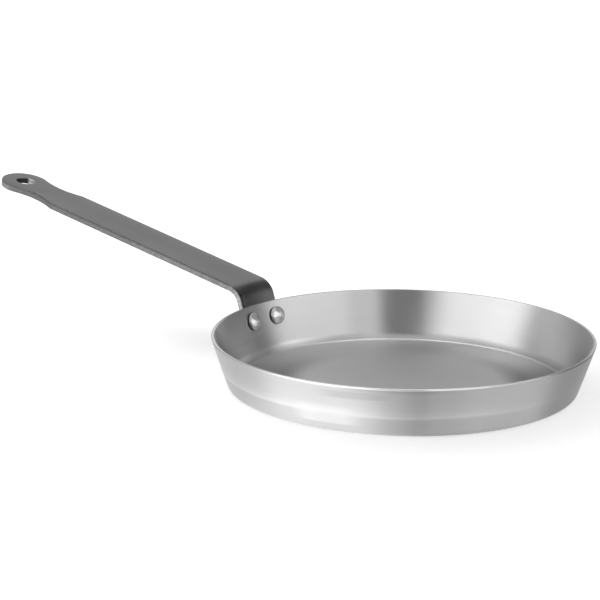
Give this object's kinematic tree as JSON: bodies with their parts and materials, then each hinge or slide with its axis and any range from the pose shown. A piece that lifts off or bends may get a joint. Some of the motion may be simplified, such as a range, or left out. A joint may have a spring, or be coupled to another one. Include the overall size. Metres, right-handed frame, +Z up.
{
  "type": "pancake pan",
  "caption": "Low round steel pan with a flared wall and a long flat strip handle, riveted to the wall and rising to a round head with a hanging hole.",
  "frame": {"origin": "centre of the flat underside of the pan's base", "axes": "+Z up out of the open pan; the handle runs out along -X and rises; Y is across the handle"},
  "size_m": [0.4752, 0.24, 0.0848],
  "materials": {
    "pan_steel": "fine circular brushing, satin",
    "handle_steel": "dark grey baked coating, fine matt grain",
    "rivet_steel": "bright upset steel"
  },
  "bodies": {
    "root": {"pan_body": "pan_steel", "handle": "handle_steel", "rivet_left": "rivet_steel", "rivet_right": "rivet_steel"}
  },
  "joints": []
}
